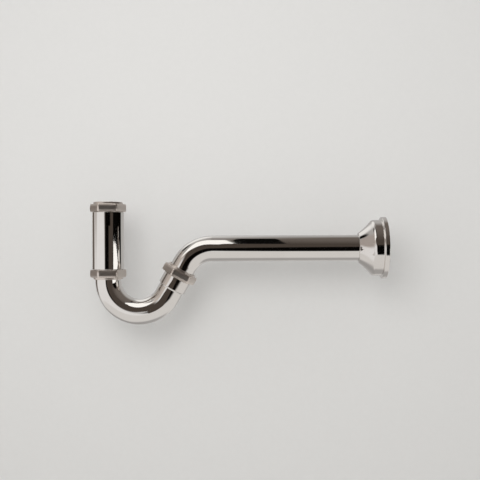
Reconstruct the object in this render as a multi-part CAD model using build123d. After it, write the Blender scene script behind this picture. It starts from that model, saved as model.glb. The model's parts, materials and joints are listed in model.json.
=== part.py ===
from build123d import *
import math
import os

# Tube sizes
TUBE_OD = 32.0
TUBE_WALL = 1.2
BEND_RADIUS = 40.0
OUTLET_RISE = 60.0

# Places along the water's way, down from the foot of the inlet washer's seat
TRAP_FACE_Z = -90.6
BEND_START_Z = -91.8
LEG_TOP_Z = -66.6
FERRULE_FOOT = 12.4
OUTLET_FACE = 39.5
OUTLET_BEND_START = 45.5
WALL_X = 346.8
PIPE_SETBACK = 1.0

# Fits
SOCKET_GAP = 0.3
SWIVEL_GAP = 0.5
RING_GAP = 0.5
WASHER_GAP = 0.1
HOLE_GAP = 0.6
THREAD_GAP = 0.15
SEAT_GAP = 0.1
NUT_FOOT_GAP = 0.5
FLANGE_GAP = 0.3

# Slip nut
NUT_WALL = 1.9
NUT_CORNER_R = 3.2
HEX_HEIGHT = 9.6
EDGE_HEIGHT = 3.0
EDGE_TAPER = 25.0
EDGE_BLEND_R = 2.0
SHOULDER_HEIGHT = 2.4
SHOULDER_STEP = 0.2
SHOULDER_TAPER = 0.9
SHOULDER_EDGE_R = 0.6
NUT_ROOF = 2.6
MOUTH_CHAMFER = 0.3
SLEEVE_NUT_TURN = 10.5
OUTLET_NUT_TURN = 13.5

# Threaded spigots, drawn at the root of the thread
SPIGOT_WALL = 0.95
THREAD_DEPTH = 0.5
SPIGOT_LEAD = 0.2
SEAT_DEPTH = 0.6

# Friction ring and washer
RING_THICK = 0.8
RING_EDGE_GAP = 0.25
WASHER_FLAT = 2.4
WASHER_NOSE = 0.5

# Outlet ferrule
FERRULE_STEP = 0.35
FERRULE_EDGE = 0.4
STOP_RIB_DEPTH = 0.8
STOP_RIB_FOOT = 20.0
STOP_RIB_HEIGHT = 1.5
SOCKET_END_GAP = 1.5
BRAZE_GAP = 0.1

# Inlet sleeve
SLEEVE_STEP = 1.75
SLEEVE_WALL = 1.5
NECK_DEPTH = 12.0
SLEEVE_EDGE = 0.5

# Wall flange
FLANGE_DEPTH = 33.0
MOUTH_LIP = 2.2
MOUTH_EDGE_R = 0.5
CONE_END = 15.2
CONE_END_R = 32.9
CONE_SAG = 0.7
BAND_RISE = 1.5
BAND_START = 18.8
BAND_END = 27.0
STEP_RISE = 0.8
RIM_RISE = 3.6
RIM_EDGE_R = 0.8
FLANGE_WALL = 1.8
NECK_LENGTH = 8.0
GRIP_WIRE_R = 1.3
GRIP_PLACE = 4.6
GRIP_SQUEEZE_GAP = 0.1
GROOVE_GAP = 0.1

TUBE_R = TUBE_OD / 2
BORE_R = TUBE_R - TUBE_WALL
SOCKET_R = TUBE_R + SOCKET_GAP
SWIVEL_R = TUBE_R + SWIVEL_GAP
SPIGOT_R = SWIVEL_R + SPIGOT_WALL
THREAD_R = SPIGOT_R + THREAD_DEPTH
SLEEVE_R = THREAD_R + SLEEVE_STEP
NUT_THREAD_R = THREAD_R + THREAD_GAP
NUT_FLAT_R = NUT_THREAD_R + NUT_WALL
NUT_HEIGHT = HEX_HEIGHT + SHOULDER_HEIGHT
MOUTH_DROP = NUT_ROOF + RING_THICK + WASHER_FLAT + 2 * SEAT_GAP
FOOT_DROP = NUT_HEIGHT + NUT_FOOT_GAP
INLET_FACE_Z = MOUTH_DROP + SEAT_DEPTH
BAND_R = CONE_END_R + BAND_RISE
RIM_R = BAND_R + RIM_RISE
RISE = math.radians(OUTLET_RISE)

# Points of the bent water's way
BEND_CENTRE = Vector(BEND_RADIUS, 0, BEND_START_Z)
OUTLET_DIR = Vector(math.cos(RISE), 0, math.sin(RISE))
BEND_END = BEND_CENTRE + Vector(math.sin(RISE), 0, -math.cos(RISE)) * BEND_RADIUS
PIPE_BEND_START = BEND_END + OUTLET_DIR * OUTLET_BEND_START
PIPE_BEND_END = PIPE_BEND_START + Vector(math.sin(RISE), 0, 1 - math.cos(RISE)) * BEND_RADIUS
PIPE_Z = PIPE_BEND_END.Z
PIPE_END_X = WALL_X - PIPE_SETBACK


def on_outlet(distance):
    """Return the plane across the rising outlet axis at a distance from the end of the U bend."""
    across = Vector(math.sin(RISE), 0, -math.cos(RISE))
    return Plane(BEND_END + OUTLET_DIR * distance, x_dir=across, z_dir=OUTLET_DIR)


def turned(outline):
    """Return the solid turned about Z from a closed outline of (radius, height) points or edges."""
    return revolve(Plane.XZ * make_face(outline.edges()), axis=Axis.Z)


def turned_points(*points):
    """Return the solid turned about Z from the corners of its half section."""
    return turned(Polyline(*points, close=True))


def slip_nut():
    """Return a hexagon slip nut with its closed face at height zero and its open end below."""
    outline = fillet(RegularPolygon(NUT_FLAT_R, 6, major_radius=False).vertices(), NUT_CORNER_R)
    waist = HEX_HEIGHT - 2 * EDGE_HEIGHT
    end = Pos(0, 0, waist / 2) * extrude(outline, EDGE_HEIGHT, taper=EDGE_TAPER)
    hexagon = extrude(outline, waist / 2, both=True) + end + mirror(end, about=Plane.XY)
    levels = hexagon.edges().group_by(Axis.Z)
    hexagon = fillet(levels[2] + levels[-3], EDGE_BLEND_R)
    shoulder_r = NUT_FLAT_R - EDGE_HEIGHT * math.tan(math.radians(EDGE_TAPER)) - SHOULDER_STEP
    shoulder = turned_points(
        (0, -SHOULDER_HEIGHT),
        (shoulder_r, -SHOULDER_HEIGHT),
        (shoulder_r - SHOULDER_TAPER, 0),
        (0, 0),
    )
    shoulder = fillet(shoulder.edges().group_by(Axis.Z)[-1], SHOULDER_EDGE_R)
    hole_r = TUBE_R + HOLE_GAP
    inside = turned_points(
        (0, 0),
        (hole_r, 0),
        (hole_r, -NUT_ROOF),
        (NUT_THREAD_R, -NUT_ROOF),
        (NUT_THREAD_R, MOUTH_CHAMFER - NUT_HEIGHT),
        (NUT_THREAD_R + MOUTH_CHAMFER, -NUT_HEIGHT),
        (0, -NUT_HEIGHT),
    )
    return Pos(0, 0, HEX_HEIGHT / 2 - NUT_HEIGHT) * hexagon + shoulder - inside


def friction_ring():
    """Return the flat ring that lies under the roof of a slip nut."""
    top = -NUT_ROOF - SEAT_GAP
    outer = THREAD_R - RING_EDGE_GAP
    inner = TUBE_R + RING_GAP
    return turned_points((inner, top), (outer, top), (outer, top - RING_THICK), (inner, top - RING_THICK))


def slip_washer():
    """Return the soft washer whose bevelled nose sits in the mouth of a threaded spigot."""
    top = -NUT_ROOF - RING_THICK - 2 * SEAT_GAP
    inner = TUBE_R + WASHER_GAP
    outer = THREAD_R - RING_EDGE_GAP
    seat = SOCKET_R + SEAT_DEPTH
    return turned_points(
        (inner, top),
        (outer, top),
        (outer, top - WASHER_FLAT),
        (seat, top - WASHER_FLAT),
        (seat - WASHER_NOSE, top - WASHER_FLAT - WASHER_NOSE),
        (inner, top - WASHER_FLAT - WASHER_NOSE),
    )


def inlet_sleeve():
    """Return the straight sleeve with a threaded spigot at each end."""
    top = INLET_FACE_Z - MOUTH_DROP
    low = TRAP_FACE_Z + MOUTH_DROP
    top_step = INLET_FACE_Z - FOOT_DROP
    low_step = TRAP_FACE_Z + FOOT_DROP
    chamber = SLEEVE_R - SLEEVE_WALL
    return turned_points(
        (SOCKET_R + SEAT_DEPTH, top),
        (SPIGOT_R - SPIGOT_LEAD, top),
        (SPIGOT_R, top - SPIGOT_LEAD),
        (SPIGOT_R, top_step),
        (SLEEVE_R - SLEEVE_EDGE, top_step),
        (SLEEVE_R, top_step - SLEEVE_EDGE),
        (SLEEVE_R, low_step + SLEEVE_EDGE),
        (SLEEVE_R - SLEEVE_EDGE, low_step),
        (SPIGOT_R, low_step),
        (SPIGOT_R, low + SPIGOT_LEAD),
        (SPIGOT_R - SPIGOT_LEAD, low),
        (SWIVEL_R + SEAT_DEPTH, low),
        (SWIVEL_R, low + SEAT_DEPTH),
        (SWIVEL_R, low + NECK_DEPTH),
        (chamber, low + NECK_DEPTH + chamber - SWIVEL_R),
        (chamber, top - NECK_DEPTH - chamber + SOCKET_R),
        (SOCKET_R, top - NECK_DEPTH),
        (SOCKET_R, top - SEAT_DEPTH),
    )


def bent_tube(path):
    """Return the round tube swept along a path."""
    start = Plane(path @ 0, z_dir=path % 0)
    return sweep(start * (Circle(TUBE_R) - Circle(BORE_R)), path=path)


def u_bend():
    """Return the bent tube that holds the water seal."""
    leg = Line((0, 0, LEG_TOP_Z), (0, 0, BEND_START_Z))
    bend = TangentArc(leg @ 1, BEND_END, tangent=leg % 1)
    rise = Line(bend @ 1, BEND_END + OUTLET_DIR * STOP_RIB_FOOT)
    return bent_tube(Wire([leg, bend, rise]))


def outlet_ferrule():
    """Return the threaded collar brazed on the rising end of the U bend."""
    mouth = OUTLET_FACE - MOUTH_DROP
    step = OUTLET_FACE - FOOT_DROP
    rib_top = STOP_RIB_FOOT + STOP_RIB_HEIGHT
    rib_r = TUBE_R - STOP_RIB_DEPTH
    pocket = TUBE_R + BRAZE_GAP
    collar_r = SPIGOT_R + FERRULE_STEP
    collar = turned_points(
        (pocket, FERRULE_FOOT),
        (collar_r - FERRULE_EDGE, FERRULE_FOOT),
        (collar_r, FERRULE_FOOT + FERRULE_EDGE),
        (collar_r, step),
        (SPIGOT_R, step),
        (SPIGOT_R, mouth - SPIGOT_LEAD),
        (SPIGOT_R - SPIGOT_LEAD, mouth),
        (SWIVEL_R + SEAT_DEPTH, mouth),
        (SWIVEL_R, mouth - SEAT_DEPTH),
        (SWIVEL_R, rib_top),
        (rib_r, rib_top),
        (rib_r, STOP_RIB_FOOT),
        (pocket, STOP_RIB_FOOT),
    )
    return on_outlet(0) * collar


def outlet_tube():
    """Return the bent outlet tube that runs level to the wall."""
    foot = STOP_RIB_FOOT + STOP_RIB_HEIGHT + SOCKET_END_GAP
    rise = Line(BEND_END + OUTLET_DIR * foot, PIPE_BEND_START)
    bend = TangentArc(rise @ 1, PIPE_BEND_END, tangent=rise % 1)
    level = Line(bend @ 1, (PIPE_END_X, 0, PIPE_Z))
    return bent_tube(Wire([rise, bend, level]))


def on_pipe(distance):
    """Return the plane across the level pipe at a distance from the mouth of the flange."""
    return Plane((WALL_X - FLANGE_DEPTH + distance, 0, PIPE_Z), x_dir=(0, 1, 0), z_dir=(1, 0, 0))


def wall_flange():
    """Return the stepped bell with its mouth at height zero and its open back above."""
    bore = TUBE_R + FLANGE_GAP
    mouth = bore + MOUTH_LIP
    slope = (CONE_END_R - mouth) / CONE_END
    lean = math.hypot(1, slope)
    middle = ((mouth + CONE_END_R) / 2 - CONE_SAG / lean, CONE_END / 2 + CONE_SAG * slope / lean)
    outer = Curve() + [
        Line((bore, 0), (mouth, 0)),
        ThreePointArc((mouth, 0), middle, (CONE_END_R, CONE_END)),
        TangentArc((CONE_END_R, CONE_END), (BAND_R, BAND_START), tangent=(slope, 1)),
        Polyline(
            (BAND_R, BAND_START),
            (BAND_R, BAND_END),
            (RIM_R, BAND_END + STEP_RISE),
            (RIM_R, FLANGE_DEPTH),
            (RIM_R - FLANGE_WALL, FLANGE_DEPTH),
            (RIM_R - FLANGE_WALL, BAND_END + STEP_RISE + FLANGE_WALL),
            (BAND_R - FLANGE_WALL, BAND_END + STEP_RISE),
            (BAND_R - FLANGE_WALL, BAND_START),
            (CONE_END_R - FLANGE_WALL, CONE_END + FLANGE_WALL / 2),
            (bore + FLANGE_WALL, NECK_LENGTH),
            (bore, NECK_LENGTH),
            (bore, 0),
        ),
    ]
    bell = turned(outer)
    rings = bell.edges().filter_by(Plane.XY)
    bell = fillet(rings.group_by(SortBy.RADIUS)[-1].sort_by(Axis.Z)[0], RIM_EDGE_R)
    rings = bell.edges().filter_by(Plane.XY)
    bell = fillet(rings.group_by(Axis.Z)[0].sort_by(SortBy.RADIUS)[-1], MOUTH_EDGE_R)
    groove = Pos(0, 0, GRIP_PLACE) * grip_torus(GRIP_WIRE_R + GROOVE_GAP)
    return on_pipe(0) * (bell - groove)


def grip_torus(wire_r):
    """Return a torus round the pipe, for the grip ring and for its groove."""
    return Torus(TUBE_R + GRIP_SQUEEZE_GAP + GRIP_WIRE_R, wire_r)


PARTS = {
    "inlet_sleeve": inlet_sleeve(),
    "u_bend": u_bend(),
    "u_bend_ferrule": outlet_ferrule(),
    "outlet_tube": outlet_tube(),
    "wall_flange": wall_flange(),
    "flange_grip_ring": on_pipe(GRIP_PLACE) * grip_torus(GRIP_WIRE_R),
}
SLIP_JOINTS = {
    "inlet": Pos(0, 0, INLET_FACE_Z) * Rot(0, 0, SLEEVE_NUT_TURN),
    "trap": Pos(0, 0, TRAP_FACE_Z) * Rot(180, 0, -SLEEVE_NUT_TURN),
    "outlet": on_outlet(OUTLET_FACE).location * Rot(0, 0, OUTLET_NUT_TURN),
}
for joint, place in SLIP_JOINTS.items():
    PARTS[joint + "_nut"] = place * slip_nut()
    PARTS[joint + "_friction_ring"] = place * friction_ring()
    PARTS[joint + "_washer"] = place * slip_washer()

os.makedirs("parts", exist_ok=True)
for name, solid in PARTS.items():
    export_step(solid, "parts/" + name + ".step")
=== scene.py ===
import functools
import json
import logging
import math
from collections.abc import Iterable, Sequence
from dataclasses import dataclass
from enum import Enum
from typing import Any, Protocol

import bpy
from mathutils import Euler, Matrix, Vector
from mathutils.kdtree import KDTree


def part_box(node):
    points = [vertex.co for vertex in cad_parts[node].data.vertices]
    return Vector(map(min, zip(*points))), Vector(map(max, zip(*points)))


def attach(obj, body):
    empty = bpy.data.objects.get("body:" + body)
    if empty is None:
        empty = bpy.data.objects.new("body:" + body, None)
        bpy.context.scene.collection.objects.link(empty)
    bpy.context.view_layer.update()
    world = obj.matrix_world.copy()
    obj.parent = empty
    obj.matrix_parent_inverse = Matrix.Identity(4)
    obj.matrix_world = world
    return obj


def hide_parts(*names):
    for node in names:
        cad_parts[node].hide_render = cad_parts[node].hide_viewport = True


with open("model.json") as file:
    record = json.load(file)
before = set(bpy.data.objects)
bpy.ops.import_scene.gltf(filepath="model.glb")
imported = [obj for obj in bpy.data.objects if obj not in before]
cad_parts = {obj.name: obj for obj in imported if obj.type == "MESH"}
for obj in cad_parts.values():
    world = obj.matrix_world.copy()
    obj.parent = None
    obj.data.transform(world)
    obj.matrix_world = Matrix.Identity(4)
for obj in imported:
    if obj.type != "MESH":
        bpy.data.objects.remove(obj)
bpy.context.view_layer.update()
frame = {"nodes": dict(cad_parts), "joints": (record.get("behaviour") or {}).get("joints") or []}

LOG = logging.getLogger("p_trap")
MM = 0.001
# Outside of the bent tubes, in millimetres
TUBE_RADIUS = 16.0
FULL_TURN = 2 * math.pi
QUARTER_TURN = math.pi / 2
# Numbers of a mix node's colour sockets, whose names repeat for each kind of data
MIX_A, MIX_B, MIX_RESULT = 6, 7, 2
# Most of a noise lies between these values
NOISE_RANGE = {"From Min": 0.3, "From Max": 0.7}
# Points of an outline, or of a half section by radius or inset and height
Profile = Sequence[tuple[float, float]]


class Slot(Enum):
    """The record's material slots, listed; no added piece is given one here."""

    TUBE = "plated_tube"
    NUT = "plated_nut"


class SlipJoint(Enum):
    """The three slip joints, each with the body that carries its thread."""

    INLET = ("inlet", "sleeve")
    TRAP = ("trap", "sleeve")
    OUTLET = ("outlet", "u_bend")

    @property
    def title(self) -> str:
        """Return the joint's name, as its nodes begin."""
        return self.value[0]

    @property
    def carrier(self) -> str:
        """Return the body that the male thread is cut on."""
        return self.value[1]


def linear(hex_colour: str) -> tuple[float, float, float, float]:
    """Turn an sRGB hex colour into linear light.

    Args:
        hex_colour: six hex digits after a hash sign.

    Returns:
        Red, green, blue and an alpha of one.
    """
    shares = [int(hex_colour[i : i + 2], 16) / 255 for i in (1, 3, 5)]
    light = [s / 12.92 if s <= 0.04045 else ((s + 0.055) / 1.055) ** 2.4 for s in shares]
    return (*light, 1.0)


def per_mm(size: float) -> float:
    """Return the texture scale that gives one feature every so many millimetres."""
    return 1 / (size * MM)


def evenly(first: float, last: float, steps: int) -> list[float]:
    """Return the values from a first to a last one, in so many equal steps."""
    return [first + (last - first) * i / steps for i in range(steps + 1)]


def add_node(
    tree: bpy.types.NodeTree,
    kind: str,
    inputs: dict[str | int, Any] | None = None,
    **settings: Any,
) -> bpy.types.Node:
    """Add one node with its settings, values and links.

    Args:
        tree: node tree that gets the node.
        kind: Blender's type name of the node.
        inputs: values, or sockets to link from, by the input's name or number.
        **settings: properties of the node itself.

    Returns:
        The new node.
    """
    node = tree.nodes.new(kind)
    for name, value in settings.items():
        setattr(node, name, value)
    for key, value in (inputs or {}).items():
        if isinstance(value, bpy.types.NodeSocket):
            tree.links.new(value, node.inputs[key])
        else:
            node.inputs[key].default_value = value
    return node


class Finish(Protocol):
    """A finish: it has the name of its material and builds the shader."""

    name: str

    def shader(self, tree: bpy.types.NodeTree) -> bpy.types.NodeSocket:
        """Build the nodes in a tree and return the shader's output."""


@dataclass(frozen=True)
class PlatedBrass:
    """Bright nickel plate on buffed brass: a warm mirror with faint haze and slow ripples from the buff."""

    name: str
    # Nickel is a slightly warm white metal, a little browner where the buff left it hazy
    bright: str
    hazy: str
    gloss: float
    haze: float
    # Size of the cloudy wiping haze, and of the buffing swirls, which are finer on the real plate
    wipe_mm: float
    swirl_mm: float
    # Length and height of the slow ripple that makes straight reflections waver
    ripple_mm: float
    ripple_height_mm: float
    # How far the buff has rounded the edges
    edge_mm: float

    def shader(self, tree: bpy.types.NodeTree) -> bpy.types.NodeSocket:
        """Build the plate's nodes.

        Args:
            tree: the material's node tree.

        Returns:
            The shader's output.
        """
        place = add_node(tree, "ShaderNodeTexCoord").outputs["Object"]
        noise = {"Vector": place, "Detail": 3.0, "Roughness": 0.55}
        wipe = add_node(tree, "ShaderNodeTexNoise", noise | {"Scale": per_mm(self.wipe_mm)})
        swirl = add_node(tree, "ShaderNodeTexNoise", noise | {"Scale": per_mm(self.swirl_mm)})
        slow = {"Vector": place, "Detail": 0.0, "Scale": per_mm(self.ripple_mm)}
        ripple = add_node(tree, "ShaderNodeTexNoise", slow)
        both = {0: wipe.outputs["Fac"], 1: swirl.outputs["Fac"]}
        cloud = add_node(tree, "ShaderNodeMath", both, operation="MULTIPLY")
        # Most of the product of the two noises lies between 0.15 and 0.4
        dull = add_node(
            tree,
            "ShaderNodeMapRange",
            {
                "Value": cloud.outputs[0],
                "From Min": 0.15,
                "From Max": 0.4,
                "To Min": self.gloss,
                "To Max": self.haze,
            },
        )
        tint = add_node(
            tree,
            "ShaderNodeMix",
            {"Factor": wipe.outputs["Fac"], MIX_A: linear(self.bright), MIX_B: linear(self.hazy)},
            data_type="RGBA",
        )
        edge = add_node(tree, "ShaderNodeBevel", {"Radius": self.edge_mm * MM}, samples=8)
        bump = add_node(
            tree,
            "ShaderNodeBump",
            {
                "Height": ripple.outputs["Fac"],
                "Strength": 1.0,
                "Distance": self.ripple_height_mm * MM,
                "Normal": edge.outputs[0],
            },
        )
        return add_node(
            tree,
            "ShaderNodeBsdfPrincipled",
            {
                "Base Color": tint.outputs[MIX_RESULT],
                "Metallic": 1.0,
                "Roughness": dull.outputs[0],
                "Normal": bump.outputs[0],
            },
        ).outputs[0]


@dataclass(frozen=True)
class BareBrass:
    """Brass with no plate: yellow and satin, with streaks or grain left by the die."""

    name: str
    clean: str
    stained: str
    roughness: tuple[float, float]
    # Size of the die's grain, drawn coarser than the real one so that it shows, and of the stains
    grain_mm: float
    stain_mm: float
    grain_height_mm: float

    def shader(self, tree: bpy.types.NodeTree) -> bpy.types.NodeSocket:
        """Build the brass's nodes.

        Args:
            tree: the material's node tree.

        Returns:
            The shader's output.
        """
        place = add_node(tree, "ShaderNodeTexCoord").outputs["Object"]
        grain = add_node(
            tree, "ShaderNodeTexNoise", {"Vector": place, "Scale": per_mm(self.grain_mm), "Detail": 4.0}
        )
        stain = add_node(
            tree, "ShaderNodeTexNoise", {"Vector": place, "Scale": per_mm(self.stain_mm), "Detail": 5.0}
        )
        tint = add_node(
            tree,
            "ShaderNodeMix",
            {"Factor": stain.outputs["Fac"], MIX_A: linear(self.clean), MIX_B: linear(self.stained)},
            data_type="RGBA",
        )
        low, high = self.roughness
        dull = add_node(
            tree,
            "ShaderNodeMapRange",
            NOISE_RANGE | {"Value": grain.outputs["Fac"], "To Min": low, "To Max": high},
        )
        bump = add_node(
            tree,
            "ShaderNodeBump",
            {"Height": grain.outputs["Fac"], "Strength": 1.0, "Distance": self.grain_height_mm * MM},
        )
        return add_node(
            tree,
            "ShaderNodeBsdfPrincipled",
            {
                "Base Color": tint.outputs[MIX_RESULT],
                "Metallic": 1.0,
                "Roughness": dull.outputs[0],
                "Normal": bump.outputs[0],
            },
        ).outputs[0]


@dataclass(frozen=True)
class MouldedRubber:
    """Black nitrile rubber from a mould: matt, with fine grain and a pale bloom in places."""

    name: str = "black_nitrile_rubber_moulded"
    black: str = "#161616"
    bloom: str = "#2c2b2a"
    roughness: tuple[float, float] = (0.55, 0.75)
    ior: float = 1.52
    # Size of the mould's grain, drawn coarse enough to show, and of the patches of bloom
    grain_mm: float = 0.35
    bloom_mm: float = 4.0
    grain_height_mm: float = 0.03

    def shader(self, tree: bpy.types.NodeTree) -> bpy.types.NodeSocket:
        """Build the rubber's nodes.

        Args:
            tree: the material's node tree.

        Returns:
            The shader's output.
        """
        place = add_node(tree, "ShaderNodeTexCoord").outputs["Object"]
        grain = add_node(
            tree, "ShaderNodeTexNoise", {"Vector": place, "Scale": per_mm(self.grain_mm), "Detail": 2.0}
        )
        cloud = add_node(
            tree, "ShaderNodeTexNoise", {"Vector": place, "Scale": per_mm(self.bloom_mm), "Detail": 4.0}
        )
        tint = add_node(
            tree,
            "ShaderNodeMix",
            {"Factor": cloud.outputs["Fac"], MIX_A: linear(self.black), MIX_B: linear(self.bloom)},
            data_type="RGBA",
        )
        low, high = self.roughness
        dull = add_node(
            tree,
            "ShaderNodeMapRange",
            NOISE_RANGE | {"Value": cloud.outputs["Fac"], "To Min": low, "To Max": high},
        )
        bump = add_node(
            tree,
            "ShaderNodeBump",
            {"Height": grain.outputs["Fac"], "Strength": 1.0, "Distance": self.grain_height_mm * MM},
        )
        return add_node(
            tree,
            "ShaderNodeBsdfPrincipled",
            {
                "Base Color": tint.outputs[MIX_RESULT],
                "Roughness": dull.outputs[0],
                "IOR": self.ior,
                "Normal": bump.outputs[0],
            },
        ).outputs[0]


@dataclass(frozen=True)
class MattPaper:
    """Uncoated pale paper of the studio sweep: flat and soft, open to the eye from behind."""

    name: str = "pale_paper_uncoated"
    sheet: str = "#dfdedc"
    fibre: str = "#dcdbd9"
    roughness: float = 0.3
    # Clouds of fibre, since single fibres are too fine to show
    fibre_mm: float = 6.0

    def shader(self, tree: bpy.types.NodeTree) -> bpy.types.NodeSocket:
        """Build the paper's nodes.

        Args:
            tree: the material's node tree.

        Returns:
            The shader's output.
        """
        place = add_node(tree, "ShaderNodeTexCoord").outputs["Object"]
        cloud = add_node(
            tree, "ShaderNodeTexNoise", {"Vector": place, "Scale": per_mm(self.fibre_mm), "Detail": 5.0}
        )
        tint = add_node(
            tree,
            "ShaderNodeMix",
            {"Factor": cloud.outputs["Fac"], MIX_A: linear(self.sheet), MIX_B: linear(self.fibre)},
            data_type="RGBA",
        )
        sheet = {"Color": tint.outputs[MIX_RESULT], "Roughness": self.roughness}
        paper = add_node(tree, "ShaderNodeBsdfDiffuse", sheet)
        clear = add_node(tree, "ShaderNodeBsdfTransparent")
        ray = add_node(tree, "ShaderNodeLightPath").outputs["Is Camera Ray"]
        behind = add_node(tree, "ShaderNodeNewGeometry").outputs["Backfacing"]
        seen = add_node(tree, "ShaderNodeMath", {0: ray, 1: behind}, operation="MULTIPLY")
        sides = {0: seen.outputs[0], 1: paper.outputs[0], 2: clear.outputs[0]}
        return add_node(tree, "ShaderNodeMixShader", sides).outputs[0]


@dataclass(frozen=True)
class LitCloth:
    """Studio cloth as a mirror shows it: an even glow where a lamp is behind it, or next to none."""

    name: str = "white_diffuser_cloth"
    glow: str = "#fffdfa"
    strength: float = 1.15

    def shader(self, tree: bpy.types.NodeTree) -> bpy.types.NodeSocket:
        """Build the cloth's node in a tree and return the shader's output."""
        glow = {"Color": linear(self.glow), "Strength": self.strength}
        return add_node(tree, "ShaderNodeEmission", glow).outputs[0]


# Drawn tube, buffed along its length and nickel plated: the brightest and smoothest of the finishes
TUBE_PLATE = PlatedBrass(
    name="nickel_plated_brass_drawn",
    bright="#efedea",
    hazy="#e7e4e0",
    gloss=0.03,
    haze=0.07,
    wipe_mm=26.0,
    swirl_mm=1.2,
    ripple_mm=16.0,
    ripple_height_mm=0.03,
    edge_mm=0.3,
)
# Cast nut, buffed by hand before plating: short ripples and a much softer mirror
NUT_PLATE = PlatedBrass(
    name="nickel_plated_brass_cast",
    bright="#e8e0d9",
    hazy="#ddd3ca",
    gloss=0.29,
    haze=0.33,
    wipe_mm=11.0,
    swirl_mm=0.8,
    ripple_mm=7.0,
    ripple_height_mm=0.03,
    edge_mm=0.6,
)
# Turned ferrule: tool marks buffed away, a little softer than the tube
FERRULE_PLATE = PlatedBrass(
    name="nickel_plated_brass_turned",
    bright="#edeae7",
    hazy="#e4e0dc",
    gloss=0.05,
    haze=0.1,
    wipe_mm=14.0,
    swirl_mm=0.8,
    ripple_mm=9.0,
    ripple_height_mm=0.02,
    edge_mm=0.5,
)
# Spun flange: nearly as bright as the tube, with shorter ripples
FLANGE_PLATE = PlatedBrass(
    name="nickel_plated_brass_spun",
    bright="#edeae7",
    hazy="#e4e0dc",
    gloss=0.04,
    haze=0.09,
    wipe_mm=20.0,
    swirl_mm=1.0,
    ripple_mm=12.0,
    ripple_height_mm=0.03,
    edge_mm=0.8,
)
# Ring stamped from sheet: satin yellow faces
STAMPED_RING = BareBrass(
    name="brass_stamped",
    clean="#d2aa5c",
    stained="#a37d3e",
    roughness=(0.24, 0.38),
    grain_mm=0.5,
    stain_mm=6.0,
    grain_height_mm=0.01,
)
# Inside of a tube, where the plating bath hardly reaches: dull, stained, greyer brass
TUBE_BORE = BareBrass(
    name="brass_drawn_inside",
    clean="#b9a57c",
    stained="#84714c",
    roughness=(0.32, 0.5),
    grain_mm=0.7,
    stain_mm=9.0,
    grain_height_mm=0.015,
)
RUBBER = MouldedRubber()
PAPER = MattPaper()
# Diffuser cloth lit from behind: an even, slightly warm white, also given to the side board and the
# reflector, which glow by themselves with it as painted glow
LAMP_CLOTH = LitCloth()
# Flag cloth that swallows nearly all light, and a board that glows by itself as dim and brown as the room:
# a painted glow that stands for the room's light in the metal
BLACK_CLOTH = LitCloth(name="black_flag_cloth", glow="#0a0908", strength=1.0)
BROWN_GLOW_CLOTH = LitCloth(name="brown_board_glow", glow="#4a423c", strength=1.0)


@functools.cache
def material_of(finish: Finish) -> bpy.types.Material:
    """Build a finish's material once.

    Args:
        finish: what the surface is and how it was made.

    Returns:
        The material with its nodes.
    """
    made = bpy.data.materials.new(finish.name)
    made.use_nodes = True
    tree = made.node_tree
    tree.nodes.clear()
    add_node(tree, "ShaderNodeOutputMaterial", {"Surface": finish.shader(tree)})
    return made


def dress(piece: bpy.types.Object, finish: Finish) -> None:
    """Give a mesh object, new or from the frame, one finish all over."""
    piece.data.materials.clear()
    piece.data.materials.append(material_of(finish))


def new_piece(
    name: str,
    points: Iterable[Vector],
    faces: Iterable[Sequence[int]],
    crease_deg: float = 60.0,
) -> bpy.types.Object:
    """Make a smooth mesh object.

    Args:
        name: the piece's name.
        points: its corners in metres.
        faces: corner numbers of each face.
        crease_deg: faces that meet at more than this stay crisp.

    Returns:
        The new object, linked to the scene.
    """
    mesh = bpy.data.meshes.new(name)
    mesh.from_pydata([tuple(p) for p in points], [], [list(f) for f in faces])
    mesh.polygons.foreach_set("use_smooth", [True] * len(mesh.polygons))
    mesh.set_sharp_from_angle(angle=math.radians(crease_deg))
    mesh.validate()
    piece = bpy.data.objects.new(name, mesh)
    bpy.context.scene.collection.objects.link(piece)
    return piece


def axis_frame(origin: Vector, along: Vector) -> Matrix:
    """Return the matrix that carries local zero to an origin and local Z along a direction."""
    return Matrix.Translation(origin) @ along.to_track_quat("Z", "X").to_matrix().to_4x4()


def swept_ring(sections: Sequence[Sequence[Vector]], closed: bool) -> tuple[list[Vector], list[list[int]]]:
    """Join closed sections one after another.

    Args:
        sections: the corners of each section, in the same order.
        closed: whether the last section joins the first, or both ends are capped.

    Returns:
        All corners, and the faces between the sections.
    """
    corners = len(sections[0])
    points = [point for section in sections for point in section]
    faces: list[list[int]] = []
    for start in range(len(sections) if closed else len(sections) - 1):
        after = (start + 1) % len(sections)
        for side in range(corners):
            beside = (side + 1) % corners
            row, next_row = start * corners, after * corners
            faces.append([row + side, row + beside, next_row + beside, next_row + side])
    if not closed:
        last = (len(sections) - 1) * corners
        faces.append(list(range(corners))[::-1])
        faces.append(list(range(last, last + corners)))
    return points, faces


def packed_joint(name: str) -> dict[str, Any]:
    """Return one of the frame's joints by its name."""
    return next(joint for joint in frame["joints"] if joint["name"] == name)


def outlet_axis() -> Vector:
    """Return the direction in which the outlet nut leaves."""
    return Vector(packed_joint("outlet_nut_travel")["axis"]).normalized()


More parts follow.
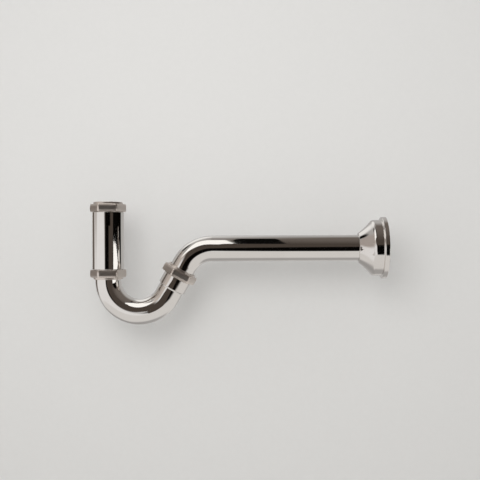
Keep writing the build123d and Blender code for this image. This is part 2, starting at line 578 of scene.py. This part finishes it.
@dataclass(frozen=True)
class WaterWay:
    """Centreline of the bent tubes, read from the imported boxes, in millimetres."""

    bend_radius: float = 40.0
    tube_radius: float = TUBE_RADIUS
    pitch: float = 1.0
    # Faces that look in on the water by more than this share are the bore's
    inward_share: float = 0.2

    def straight(self, start: Vector, end: Vector) -> list[Vector]:
        """Return evenly spaced points from a start to an end."""
        count = max(2, round((end - start).length / self.pitch))
        return [start.lerp(end, i / count) for i in range(count + 1)]

    def arc(self, centre: Vector, first_deg: float, last_deg: float) -> list[Vector]:
        """Sample an arc in the XZ plane.

        Args:
            centre: middle of the bend.
            first_deg: angle of the first point, from X towards Z.
            last_deg: angle of the last point.

        Returns:
            Evenly spaced points.
        """
        count = max(2, round(math.radians(abs(last_deg - first_deg)) * self.bend_radius / self.pitch))
        angles = [math.radians(angle) for angle in evenly(first_deg, last_deg, count)]
        return [centre + self.bend_radius * Vector((math.cos(a), 0, math.sin(a))) for a in angles]

    def points(self) -> list[Vector]:
        """Sample the whole centreline.

        Returns:
            Points in metres from the inlet's top to the wall.
        """
        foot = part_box("u_bend")[0] / MM
        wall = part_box("outlet_tube")[1] / MM
        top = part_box("inlet_nut")[1].z / MM
        rise = outlet_axis()
        slope = math.atan2(rise.z, rise.x)
        rise_deg = math.degrees(slope)
        bend = Vector((self.bend_radius, 0, foot.z + self.bend_radius + self.tube_radius))
        first = self.arc(bend, 180.0, 270.0 + rise_deg)
        level = wall.z - self.tube_radius
        climb = (level - first[-1].z - self.bend_radius * (1 - math.cos(slope))) / rise.z
        turn = first[-1] + rise * climb
        centre = Vector((turn.x + self.bend_radius * math.sin(slope), 0, level - self.bend_radius))
        second = self.arc(centre, 90.0 + rise_deg, 90.0)
        way = self.straight(Vector((0, 0, top)), first[0]) + first + self.straight(first[-1], turn)
        way += second + self.straight(second[-1], Vector((wall.x, 0, level)))
        return [point * MM for point in way]

    def line_bores(self, nodes: Iterable[str], finish: Finish) -> None:
        """Give the faces that look in on the water the finish of the bore.

        Args:
            nodes: names of hollow nodes on the centreline.
            finish: what the inside looks like.
        """
        line = self.points()
        tree = KDTree(len(line))
        for number, point in enumerate(line):
            tree.insert(point, number)
        tree.balance()
        for name in nodes:
            mesh = frame["nodes"][name].data
            mesh.materials.append(material_of(finish))
            inner = len(mesh.materials) - 1
            for face in mesh.polygons:
                outward = face.center - tree.find(face.center)[0]
                if face.normal.dot(outward.normalized()) < -self.inward_share:
                    face.material_index = inner


@dataclass(frozen=True)
class SpigotThread:
    """Right-hand thread on a spigot: a ridge wound on the solid's plain cylinder, in millimetres."""

    joint: SlipJoint
    root_radius: float = 17.45
    depth: float = 0.5
    pitch: float = 2.209
    # Widths of the ridge's foot and crest, as shares of the pitch
    base_share: float = 0.84
    crest_share: float = 0.2
    # Spigot's mouth under the nut's closed face, then the thread's ends under that mouth
    mouth_drop: float = 6.0
    first: float = 0.6
    last: float = 5.7
    # How deep the ridge's feet stand in the solid
    sink: float = 0.04
    run_out_turns: float = 0.2
    steps_a_turn: int = 96
    crease_deg: float = 25.0

    def build(self) -> bpy.types.Object:
        """Wind the ridge and set it on the spigot.

        Returns:
            The thread, riding on the body that carries it.
        """
        turn = packed_joint(self.joint.title + "_nut_turn")
        along = Vector(turn["axis"]).normalized()
        mouth = Vector(turn["pos_m"]) - along * self.mouth_drop * MM
        place = axis_frame(mouth, along)
        turns = (self.last - self.first) / self.pitch
        steps = round(turns * self.steps_a_turn)
        sections = [self.section(wound, turns, place) for wound in evenly(0.0, turns, steps)]
        points, faces = swept_ring(sections, closed=False)
        piece = new_piece(self.joint.title + "_spigot_thread", points, faces, self.crease_deg)
        dress(piece, NUT_PLATE)
        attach(piece, self.joint.carrier)
        return piece

    def section(self, wound: float, turns: float, place: Matrix) -> list[Vector]:
        """Return the ridge's section after some turns.

        Args:
            wound: turns from the lower end.
            turns: turns in all.
            place: matrix from the spigot's mouth to the frame.

        Returns:
            Four corners, from the upper foot to the lower foot over the crest.
        """
        height = self.depth * min(1.0, wound / self.run_out_turns, (turns - wound) / self.run_out_turns)
        angle = FULL_TURN * wound
        middle = -self.last + self.pitch * wound
        base, crest = self.base_share * self.pitch / 2, self.crest_share * self.pitch / 2
        foot, top = self.root_radius - self.sink, self.root_radius + height
        upper = ((foot, middle + base), (top, middle + crest))
        lower = ((top, middle - crest), (foot, middle - base))
        spin = Matrix.Rotation(angle, 4, "Z")
        return [place @ (spin @ Vector((r, 0, z)) * MM) for r, z in (*upper, *lower)]


@dataclass(frozen=True)
class SlipNut:
    """Hexagon slip nut with both ends eased by the buff, in millimetres from its closed face."""

    joint: SlipJoint
    flat_radius: float = 20.0
    corner_radius: float = 3.2
    height: float = 12.0
    # Turned shoulder on the closed end, nearly straight, with an eased edge
    shoulder_radius: float = 18.4
    shoulder_height: float = 2.4
    shoulder_taper: float = 0.2
    shoulder_edge: float = 0.5
    # Tapered ends of the hexagon, the round into each taper and the round of the upper edge
    end_taper_deg: float = 14.0
    end_height: float = 2.7
    end_blend: float = 2.0
    crown: float = 0.5
    # Hole in the roof, and the wider bore under it
    hole_radius: float = 16.6
    thread_radius: float = 18.1
    roof: float = 2.6
    mouth_chamfer: float = 0.3
    # Sine of the most that a face of the solid leans and still counts as a flat
    flat_lean: float = 0.01
    sides: int = 6
    flat_steps: int = 10
    arc_steps: int = 8
    crease_deg: float = 32.0

    def build(self) -> bpy.types.Object:
        """Make the nut in place of its plainer solid.

        Returns:
            The nut, riding on its own body.
        """
        node = self.joint.title + "_nut"
        turn = packed_joint(node + "_turn")
        place = axis_frame(Vector(turn["pos_m"]), Vector(turn["axis"]).normalized())
        first = self.flat_angle(node, place)
        angles = [math.atan2(p.y, p.x) for p in self.hexagon(0.0, 0.0, first)]
        bore = self.bore()
        rows = [self.hexagon(inset, height, first) for inset, height in self.outside()]
        for radius, height in (*self.shoulder(), *bore):
            rows.append([Vector((radius * math.cos(a), radius * math.sin(a), height)) for a in angles])
        sections = [[place @ (point * MM) for point in row] for row in rows]
        points, faces = swept_ring(sections, closed=True)
        piece = new_piece(self.joint.title + "_slip_nut", points, faces, self.crease_deg)
        dress(piece, NUT_PLATE)
        piece.data.materials.append(material_of(TUBE_BORE))
        inner = len(piece.data.materials) - 1
        bore_rows = range(len(rows) - len(bore), len(rows) - 1)
        for face in piece.data.polygons:
            if face.index // len(angles) in bore_rows:
                face.material_index = inner
        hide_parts(node)
        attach(piece, node)
        return piece

    def flat_angle(self, node: str, place: Matrix) -> float:
        """Return the bearing of one of the solid's flats.

        Args:
            node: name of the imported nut.
            place: matrix from the nut's closed face to the frame.

        Returns:
            The angle round the nut's axis, in radians.
        """
        back = place.to_3x3().transposed()
        faces = [(face.area, back @ face.normal) for face in frame["nodes"][node].data.polygons]
        level = [(area, normal) for area, normal in faces if abs(normal.z) < self.flat_lean]
        normal = max(level, key=lambda pair: pair[0])[1]
        return math.atan2(normal.y, normal.x)

    def hexagon(self, inset: float, height: float, first: float) -> list[Vector]:
        """Return the rounded hexagon at a height, drawn in by an inset.

        Args:
            inset: how far its flats stand in from the waist's.
            height: height over the closed face.
            first: bearing of one flat, in radians.

        Returns:
            Its points, in turn round the axis.
        """
        side = FULL_TURN / self.sides
        middle = (self.flat_radius - self.corner_radius) / math.cos(side / 2)
        radius = self.corner_radius - inset
        arcs = []
        for number in range(self.sides):
            start = first + side * number
            centre = Vector((math.cos(start + side / 2), math.sin(start + side / 2), 0)) * middle
            turns = evenly(start, start + side, self.arc_steps)
            arcs.append([centre + Vector((math.cos(a), math.sin(a), 0)) * radius for a in turns])
        points: list[Vector] = []
        for arc, after in zip(arcs, arcs[1:] + arcs[:1]):
            points += arc
            points += [arc[-1].lerp(after[0], i / self.flat_steps) for i in range(1, self.flat_steps)]
        return [Vector((p.x, p.y, height)) for p in points]

    def outside(self) -> Profile:
        """Run up the outside of the hexagon.

        Returns:
            Inset and height of its rows, from the open end to the shoulder.
        """
        slope = math.radians(self.end_taper_deg)
        foot, top = -self.height, -self.shoulder_height
        turns = evenly(0.0, slope, self.arc_steps)
        reach = self.end_height + self.end_blend * math.tan(slope / 2)
        blend = [(self.end_blend * (1 - math.cos(a)), reach - self.end_blend * math.sin(a)) for a in turns]
        edge = evenly(slope, QUARTER_TURN, self.arc_steps)
        drop = self.crown * (1 - math.sin(slope))
        inset = (self.end_height - drop) * math.tan(slope) + self.crown * math.cos(slope)
        crown = [(inset - self.crown * math.cos(a), top - self.crown * (1 - math.sin(a))) for a in edge]
        lower = [(self.end_height * math.tan(slope), foot), *((i, foot + h) for i, h in reversed(blend))]
        return [*lower, *((i, top - h) for i, h in blend), *crown]

    def shoulder(self) -> Profile:
        """Run up the turned shoulder.

        Returns:
            Radius and height of its rows, from its foot to the closed face.
        """
        top, edge = self.shoulder_radius - self.shoulder_taper, self.shoulder_edge
        quarter = evenly(0.0, QUARTER_TURN, self.arc_steps)
        eased = [(top - edge * (1 - math.cos(a)), edge * (math.sin(a) - 1)) for a in quarter]
        return [(self.shoulder_radius, -self.shoulder_height), *eased]

    def bore(self) -> Profile:
        """Run down the inside of the nut.

        Returns:
            Radius and height of its rows, from the closed face to the open end.
        """
        return [
            (self.hole_radius, 0.0),
            (self.hole_radius, -self.roof),
            (self.thread_radius, -self.roof),
            (self.thread_radius, self.mouth_chamfer - self.height),
            (self.thread_radius + self.mouth_chamfer, -self.height),
        ]


@dataclass(frozen=True)
class BrazeFillet:
    """Hollow fillet of braze where the ferrule's foot meets the tube, in millimetres."""

    tube_radius: float = TUBE_RADIUS
    # Width under the ferrule's foot, and length down the tube
    reach: float = 1.25
    fall: float = 1.5
    # Ferrule's foot under the swivel's pivot
    foot_drop: float = 27.1
    # How deep the braze stands in the solids
    sink: float = 0.06
    arc_steps: int = 8
    steps: int = 160
    crease_deg: float = 50.0

    def build(self) -> bpy.types.Object:
        """Turn the fillet round the outlet axis.

        Returns:
            The fillet, riding on the U bend.
        """
        along = outlet_axis()
        pivot = Vector(packed_joint("outlet_swivel")["pos_m"])
        place = axis_frame(pivot - along * self.foot_drop * MM, along)
        profile = self.profile()
        sections = []
        for step in range(self.steps):
            spin = Matrix.Rotation(FULL_TURN * step / self.steps, 4, "Z")
            sections.append([place @ (spin @ Vector((r, 0, z)) * MM) for r, z in profile])
        points, faces = swept_ring(sections, closed=True)
        piece = new_piece("ferrule_braze_fillet", points, faces, self.crease_deg)
        dress(piece, TUBE_PLATE)
        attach(piece, "u_bend")
        return piece

    def profile(self) -> Profile:
        """Draw the fillet's closed half section, with a hollow quarter ellipse outside.

        Returns:
            Radius and height of its corners, from the ferrule's foot down.
        """
        inner, outer = self.tube_radius - self.sink, self.tube_radius + self.reach
        quarter = evenly(QUARTER_TURN, 0.0, self.arc_steps)
        hollow = [(outer - self.reach * math.cos(a), self.fall * (math.sin(a) - 1)) for a in quarter]
        return [(outer, self.sink), *hollow, (inner, -self.fall), (inner, self.sink)]


@dataclass(frozen=True)
class TrapMetalwork:
    """The carried-over solids that no new piece stands for, and the finish that each one has."""

    tubes: tuple[str, ...] = ("inlet_sleeve", "u_bend", "outlet_tube")
    ferrule: str = "u_bend_ferrule"
    rings: tuple[str, ...] = ("inlet_friction_ring", "trap_friction_ring", "outlet_friction_ring")
    seals: tuple[str, ...] = ("inlet_washer", "trap_washer", "outlet_washer", "flange_grip_ring")
    flange: str = "wall_flange"

    def build(self) -> list[str]:
        """Dress every solid.

        Returns:
            The names of the dressed nodes.
        """
        groups = {
            TUBE_PLATE: self.tubes,
            FERRULE_PLATE: (self.ferrule,),
            FLANGE_PLATE: (self.flange,),
            STAMPED_RING: self.rings,
            RUBBER: self.seals,
        }
        for finish, names in groups.items():
            for name in names:
                dress(frame["nodes"][name], finish)
        WaterWay().line_bores((*self.tubes, self.ferrule, self.flange), TUBE_BORE)
        return [name for names in groups.values() for name in names]


@dataclass(frozen=True)
class PaperSweep:
    """Pale paper hung close behind the trap and led out in front as the floor, in millimetres."""

    back_y: float = 80.0
    floor_z: float = -420.0
    curve_radius: float = 50.0
    top_z: float = 1600.0
    front_y: float = -1300.0
    half_width: float = 1800.0
    middle_x: float = 170.0
    curve_steps: int = 12

    def profile(self) -> Profile:
        """Draw the sheet from the side.

        Returns:
            Its y and z from the top edge to the front edge.
        """
        y, z, r = self.back_y - self.curve_radius, self.floor_z + self.curve_radius, self.curve_radius
        quarter = evenly(0.0, QUARTER_TURN, self.curve_steps)
        curve = [(y + r * math.cos(a), z - r * math.sin(a)) for a in quarter]
        return [(self.back_y, self.top_z), *curve, (self.front_y, self.floor_z)]

    def build(self) -> bpy.types.Object:
        """Hang the sheet.

        Returns:
            The stage object.
        """
        run = self.profile()
        sides = (self.middle_x - self.half_width, self.middle_x + self.half_width)
        points = [Vector((x, y, z)) * MM for y, z in run for x in sides]
        faces = [(2 * i, 2 * i + 2, 2 * i + 3, 2 * i + 1) for i in range(len(run) - 1)]
        sheet = new_piece("paper_sweep", points, faces)
        dress(sheet, PAPER)
        # What the metal mirrors of it is in the studio's cards
        sheet.visible_glossy = False
        return sheet


@dataclass(frozen=True)
class Card:
    """A patch of the studio that bright metal mirrors: where it stands, how wide it is and its shade."""

    # Bearing from the camera's side towards the right, and height over the horizon
    bearing_deg: float
    height_deg: float
    spread_deg: float
    blur_deg: float
    shade: str

    def toward(self) -> tuple[float, float, float]:
        """Turn bearing and height into a direction.

        Returns:
            The unit vector towards the card's middle.
        """
        bearing, height = math.radians(self.bearing_deg), math.radians(self.height_deg)
        level = math.cos(height)
        return level * math.sin(bearing), -level * math.cos(bearing), math.sin(height)


@dataclass(frozen=True)
class StudioWorld:
    """Studio round the trap: an even fill for matt surfaces, and the room that bright metal mirrors."""

    fill: float = 1.08
    horizon: str = "#d6d5d3"
    room: str = "#4a423c"
    cards: tuple[Card, ...] = (
        # Brown room, hazy at the upper right, with a dark skirting
        Card(110.0, 45.0, 55.0, 25.0, "#6e6660"),
        Card(0.0, -90.0, 73.0, 3.0, "#15110e"),
        # Pale side wall on the left, in half light higher up
        Card(-90.0, -35.0, 75.0, 4.0, "#e9e7e6"),
        Card(-29.0, -7.0, 18.0, 4.0, "#e9e7e6"),
        Card(-110.0, 48.0, 34.0, 12.0, "#b4b1ae"),
        Card(-54.0, 21.0, 13.0, 6.0, "#c2b8b0"),
        Card(-86.0, 20.0, 19.0, 5.0, "#aca39d"),
        # Grey wall behind, the pale floor, in shade at the back, and a brown corner on the left
        Card(180.0, 0.0, 66.0, 16.0, "#b6b4b2"),
        Card(0.0, -90.0, 62.5, 4.0, "#dad7d4"),
        Card(180.0, -60.0, 22.0, 8.0, "#a8a6a4"),
        Card(-148.0, -40.0, 18.0, 11.0, "#a09e9c"),
        Card(-119.0, -1.0, 15.0, 5.0, "#645a53"),
        # Window high on the left, and the dark edge of its frame
        Card(-148.0, 45.0, 18.0, 6.0, "#f6f5f3"),
        Card(-104.0, 44.0, 8.0, 4.0, "#0a0908"),
        # Dark doorway on the right, and unlit space in front
        Card(72.0, -4.0, 24.0, 3.0, "#050403"),
        Card(96.0, -4.0, 24.0, 3.0, "#050403"),
        Card(8.0, -9.0, 18.0, 3.0, "#050403"),
        Card(18.0, 2.0, 11.0, 3.0, "#050403"),
    )

    def build(self) -> bpy.types.World:
        """Make the world and its nodes.

        Returns:
            The world, set on the scene.
        """
        world = bpy.data.worlds.new("studio")
        world.use_nodes = True
        tree = world.node_tree
        tree.nodes.clear()
        way = add_node(tree, "ShaderNodeTexCoord").outputs["Generated"]
        facing = add_node(tree, "ShaderNodeVectorMath", {0: way}, operation="NORMALIZE").outputs[0]
        shade: bpy.types.NodeSocket | tuple[float, ...] = linear(self.room)
        for card in self.cards:
            shade = self.lay_card(tree, facing, card, shade)
        fill = add_node(tree, "ShaderNodeBackground", {"Strength": self.fill})
        mirrored = add_node(tree, "ShaderNodeBackground", {"Color": shade})
        seen = add_node(tree, "ShaderNodeBackground", {"Color": linear(self.horizon)})
        ray = add_node(tree, "ShaderNodeLightPath").outputs
        lit = {0: ray["Is Glossy Ray"], 1: fill.outputs[0], 2: mirrored.outputs[0]}
        inner = add_node(tree, "ShaderNodeMixShader", lit)
        shown = {0: ray["Is Camera Ray"], 1: inner.outputs[0], 2: seen.outputs[0]}
        outer = add_node(tree, "ShaderNodeMixShader", shown)
        add_node(tree, "ShaderNodeOutputWorld", {"Surface": outer.outputs[0]})
        bpy.context.scene.world = world
        return world

    def lay_card(
        self,
        tree: bpy.types.NodeTree,
        facing: bpy.types.NodeSocket,
        card: Card,
        under: bpy.types.NodeSocket | tuple[float, ...],
    ) -> bpy.types.NodeSocket:
        """Lay one card over what is mirrored so far.

        Args:
            tree: the world's node tree.
            facing: socket with the direction looked in.
            card: the card to lay.
            under: colour, or socket with the colour, under it.

        Returns:
            The socket with the new colour.
        """
        both = {0: facing, 1: card.toward()}
        along = add_node(tree, "ShaderNodeVectorMath", both, operation="DOT_PRODUCT")
        share = add_node(
            tree,
            "ShaderNodeMapRange",
            {
                "Value": along.outputs["Value"],
                "From Min": math.cos(math.radians(card.spread_deg + card.blur_deg)),
                "From Max": math.cos(math.radians(card.spread_deg - card.blur_deg)),
            },
            interpolation_type="SMOOTHSTEP",
        )
        inputs = {"Factor": share.outputs[0], MIX_A: under, MIX_B: linear(card.shade)}
        return add_node(tree, "ShaderNodeMix", inputs, data_type="RGBA").outputs[MIX_RESULT]


@dataclass(frozen=True)
class KeyLamp:
    """Soft square lamp above, in front and to the left, in metres and watts."""

    place: tuple[float, float, float] = (0.03, -0.8, 0.22)
    target: tuple[float, float, float] = (0.15, 0.0, -0.06)
    size: float = 0.45
    power: float = 2.4

    def build(self) -> bpy.types.Object:
        """Hang the lamp.

        Returns:
            The light object.
        """
        data = bpy.data.lights.new("key_lamp", "AREA")
        data.energy = self.power
        data.size = self.size
        lamp = bpy.data.objects.new("key_lamp", data)
        lamp.location = self.place
        lamp.rotation_euler = (Vector(self.target) - Vector(self.place)).to_track_quat("-Z", "Y").to_euler()
        # The room's own cards are what the metal mirrors
        lamp.visible_glossy = False
        bpy.context.scene.collection.objects.link(lamp)
        return lamp


@dataclass(frozen=True)
class StudioFlat:
    """Flat screen that stands by the trap and shows only in mirrors, in metres."""

    name: str
    finish: Finish
    place: tuple[float, float, float]
    target: tuple[float, float, float]
    # Corners to the right and up, looking towards the target
    outline: Profile

    def build(self) -> bpy.types.Object:
        """Stand the screen up.

        Returns:
            The stage object.
        """
        place = Vector(self.place)
        toward = (Vector(self.target) - place).normalized()
        across = toward.cross(Vector((0, 0, 1))).normalized()
        up = across.cross(toward)
        points = [place + across * x + up * y for x, y in self.outline]
        screen = new_piece(self.name, points, [range(len(points))])
        dress(screen, self.finish)
        screen.visible_camera = False
        screen.visible_diffuse = False
        screen.visible_shadow = False
        screen.visible_transmission = False
        return screen


STUDIO_FLATS = (
    # Big lamp cloth above and in front, on the left
    StudioFlat(
        name="soft_box",
        finish=LAMP_CLOTH,
        place=(-0.15, -0.488, 0.49),
        target=(0.1, 0.0, -0.09),
        outline=((-0.36, -0.25), (0.29, 0.02), (0.05, 0.57), (-0.36, 0.45)),
    ),
    # Hangs a little nearer than the lamp and covers its right edge
    StudioFlat(
        name="black_flag",
        finish=BLACK_CLOTH,
        place=(-0.147, -0.482, 0.483),
        target=(0.1, 0.0, -0.09),
        outline=((0.29, 0.0), (0.435, 0.0), (0.05, 0.95), (-0.08, 0.95)),
    ),
    # Low white board far out on the right, with a sloping top edge, glowing by itself like the lamp cloth:
    # a painted glow that shows only in the metal
    StudioFlat(
        name="side_board",
        finish=LAMP_CLOTH,
        place=(0.97, -0.26, -0.045),
        target=(0.0, 0.0, -0.045),
        outline=(
            (-0.445, 0.012),
            (-0.445, -0.3),
            (0.9, -0.3),
            (0.9, -0.11),
            (0.23, -0.055),
            (-0.04, 0.003),
        ),
    ),
    # White reflector below the soft box's right-hand edge, glowing by itself like the lamp cloth: a painted
    # glow that puts a highlight on the U bend
    StudioFlat(
        name="reflector",
        finish=LAMP_CLOTH,
        place=(-0.042, -0.22, 0.133),
        target=(0.208, 0.268, -0.447),
        outline=(
            (0.1, 0.03),
            (0.165, 0.03),
            (0.156, 0.095),
            (0.121, 0.156),
            (0.078, 0.208),
            (0.013, 0.242),
        ),
    ),
    # Small brown board close in front of the rising leg, glowing by itself: a painted glow that the leg
    # mirrors as the dim brown room
    StudioFlat(
        name="brown_board",
        finish=BROWN_GLOW_CLOTH,
        place=(0.07, -0.13, -0.1),
        target=(0.07, 0.0, -0.1),
        outline=(
            (-0.025, -0.09),
            (0.035, -0.09),
            (0.035, -0.02),
            (0.015, 0.02),
            (0.015, 0.08),
            (-0.03, 0.08),
            (-0.03, 0.015),
            (-0.075, 0.008),
            (-0.04, -0.04),
        ),
    ),
)


@dataclass(frozen=True)
class PhotoCamera:
    """Camera at the photograph's viewpoint: millimetres, degrees and pixels."""

    place: tuple[float, float, float] = (209.28, -813.247, -48.529)
    turn_deg: tuple[float, float, float] = (90.466, 0.287, 2.973)
    focal_px: float = 650.0
    image_px: float = 480.0
    sensor_width: float = 36.0

    def build(self) -> bpy.types.Object:
        """Set the camera up.

        Returns:
            The scene's camera.
        """
        data = bpy.data.cameras.new("photo_camera")
        data.sensor_width = self.sensor_width
        data.lens = self.focal_px / self.image_px * self.sensor_width
        camera = bpy.data.objects.new("photo_camera", data)
        camera.location = Vector(self.place) * MM
        camera.rotation_euler = Euler([math.radians(a) for a in self.turn_deg])
        bpy.context.scene.collection.objects.link(camera)
        bpy.context.scene.camera = camera
        return camera


def main() -> None:
    """Dress the trap, then set the stage, the light and the camera."""
    logging.basicConfig(level=logging.INFO, format="%(name)s: %(message)s")
    for name in TrapMetalwork().build():
        LOG.info("dressed %s", name)
    for joint in SlipJoint:
        LOG.info("wound %s", SpigotThread(joint).build().name)
        LOG.info("made %s", SlipNut(joint).build().name)
    LOG.info("brazed %s", BrazeFillet().build().name)
    for part in (PaperSweep(), StudioWorld(), KeyLamp(), *STUDIO_FLATS, PhotoCamera()):
        LOG.info("set up %s", part.build().name)
    bpy.context.scene.view_settings.view_transform = "Standard"


if __name__ == "__main__":
    main()
